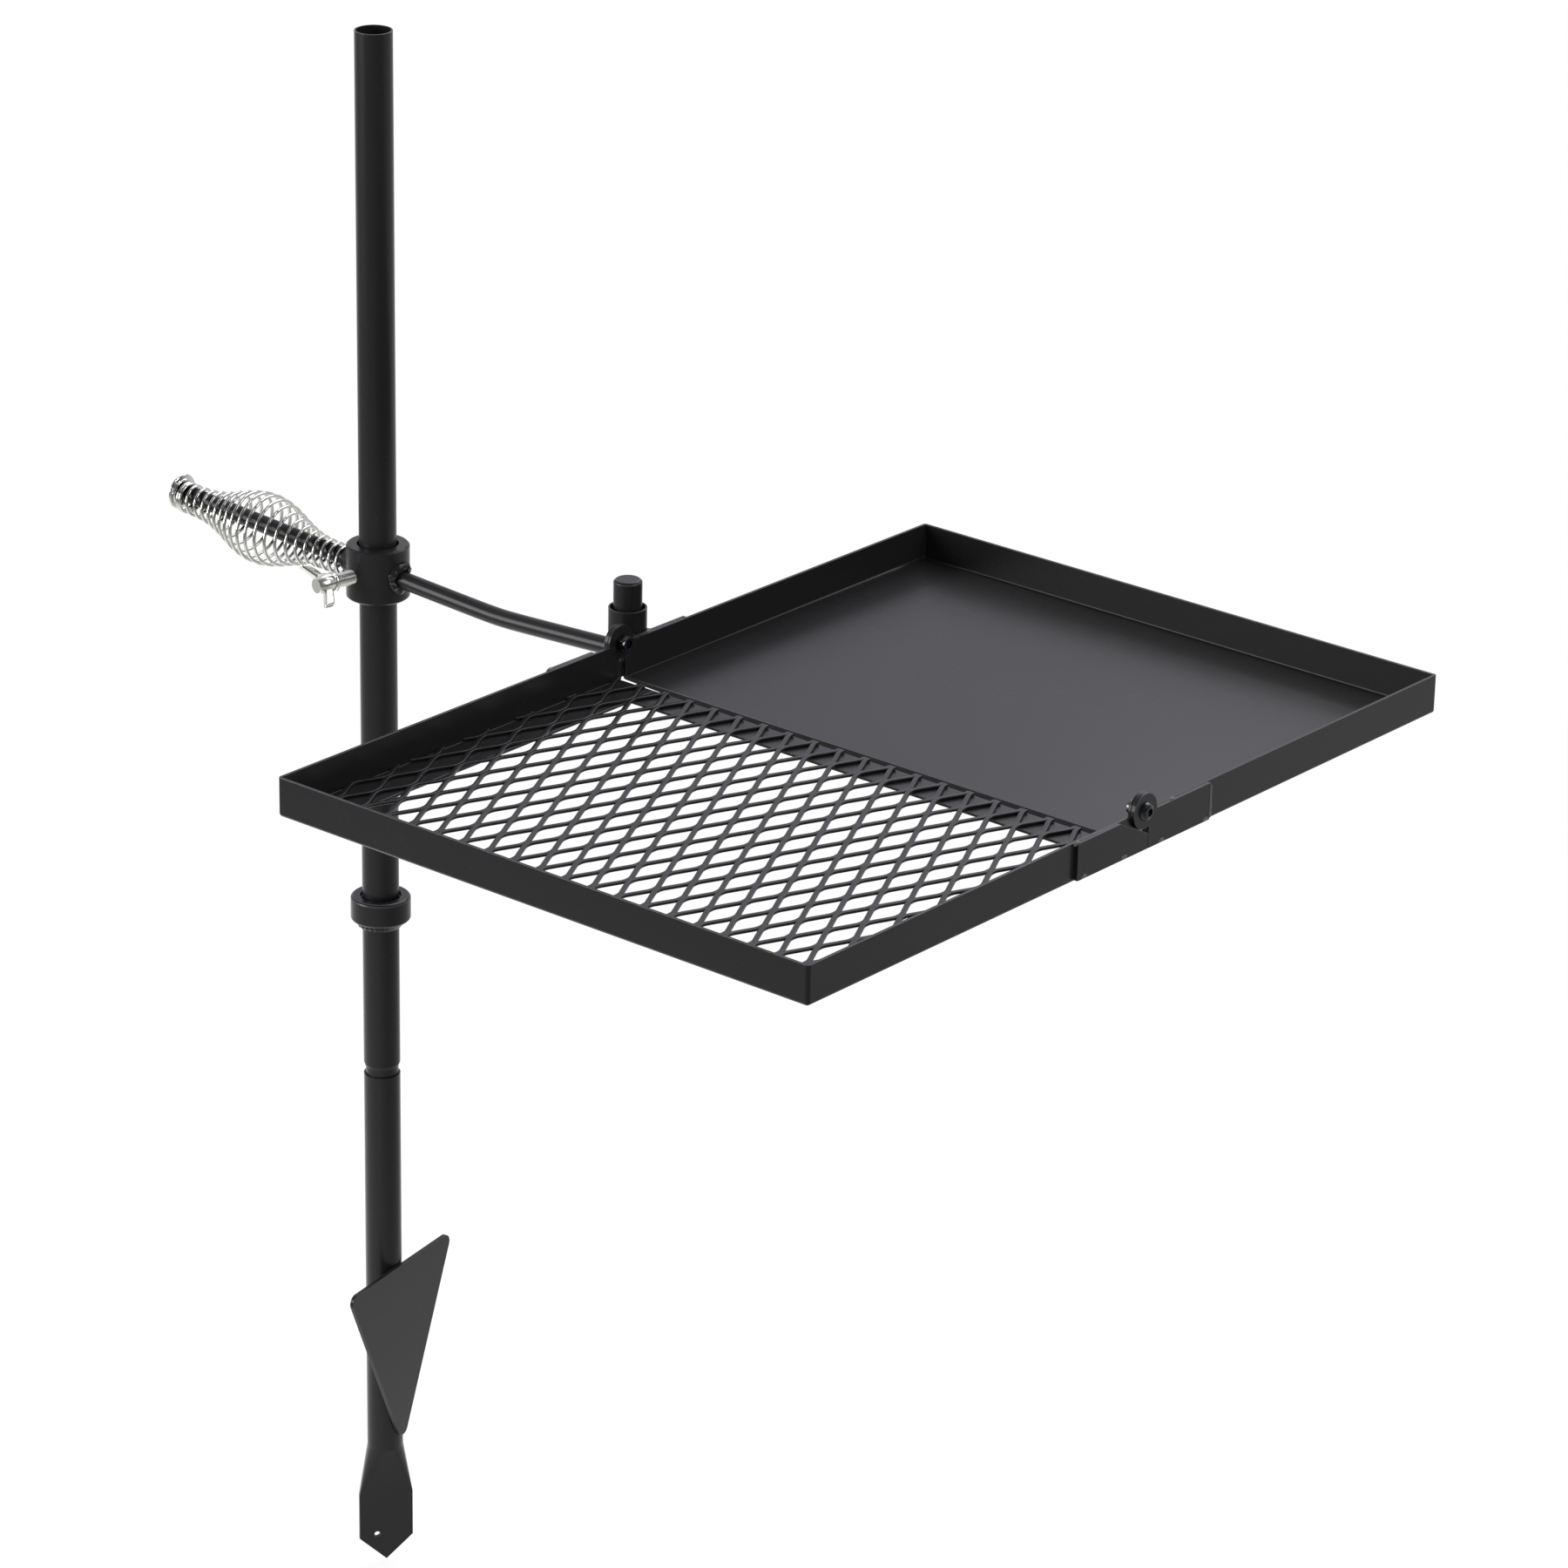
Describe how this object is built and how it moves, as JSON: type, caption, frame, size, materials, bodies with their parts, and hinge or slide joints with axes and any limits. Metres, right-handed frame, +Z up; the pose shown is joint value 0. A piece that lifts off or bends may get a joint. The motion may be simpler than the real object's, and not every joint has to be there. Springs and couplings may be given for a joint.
{
  "type": "swing arm campfire grill",
  "caption": "Ground-stake post with a height-clamped swing arm, coil-spring handle and a folding tray: expanded-mesh grate half hinged to a solid griddle half.",
  "frame": {"origin": "on the post axis at the ground line, where the stake enters the ground", "axes": "+Z up along the post, +X out along the arm from the post to the tray, +Y along the tray toward the griddle half"},
  "size_m": [0.8563, 0.626, 1.128],
  "materials": {
    "black_powder_coat": "satin powder coat",
    "chrome_plate": "bright plated wire and disc",
    "zinc_plate": "bright zinc plate"
  },
  "bodies": {
    "stake": {"stake_tube": "black_powder_coat", "stake_fin": "black_powder_coat"},
    "post": {"upper_post": "black_powder_coat", "stop_ring": "black_powder_coat"},
    "arm": {"swing_collar": "black_powder_coat", "arm_rod": "black_powder_coat", "pivot_pin": "black_powder_coat", "handle_rod": "black_powder_coat", "handle_spring": "chrome_plate", "handle_flange": "chrome_plate"},
    "clamp_screw": {"wing_screw": "zinc_plate"},
    "griddle": {"griddle_pan": "black_powder_coat", "griddle_bracket_back": "black_powder_coat", "griddle_bracket_front": "black_powder_coat", "pivot_sleeve": "black_powder_coat", "hinge_bolt_back": "black_powder_coat", "hinge_bolt_front": "black_powder_coat", "hinge_nut_back": "black_powder_coat", "hinge_nut_front": "black_powder_coat"},
    "grate": {"grate_back_rail": "black_powder_coat", "grate_front_rail": "black_powder_coat", "grate_end_rail": "black_powder_coat", "grate_fold_bar": "black_powder_coat", "grate_mesh": "black_powder_coat", "grate_bracket_back": "black_powder_coat", "grate_bracket_front": "black_powder_coat"}
  },
  "joints": [
    {"name": "post_swing", "type": "hinge", "parent": "stake", "child": "post", "pos_m": [0, 0, 0.14], "axis": [0, 0, 1], "continuous": true},
    {"name": "arm_height", "type": "slide", "parent": "post", "child": "arm", "axis": [0, 0, 1], "range_m": [-0.218, 0.353]},
    {"name": "screw_spin", "type": "hinge", "parent": "arm", "child": "clamp_screw", "pos_m": [0, 0, 0.5105], "axis": [-0.1736, -0.9848, 0], "continuous": true},
    {"name": "tray_swivel", "type": "hinge", "parent": "arm", "child": "griddle", "pos_m": [0.224, 0, 0.5105], "axis": [0, 0, 1], "range_deg": [-70, 70]},
    {"name": "tray_fold", "type": "hinge", "parent": "griddle", "child": "grate", "pos_m": [0.24, -0.026, 0.5285], "axis": [-1, 0, 0], "range_deg": [0, 180]}
  ]
}
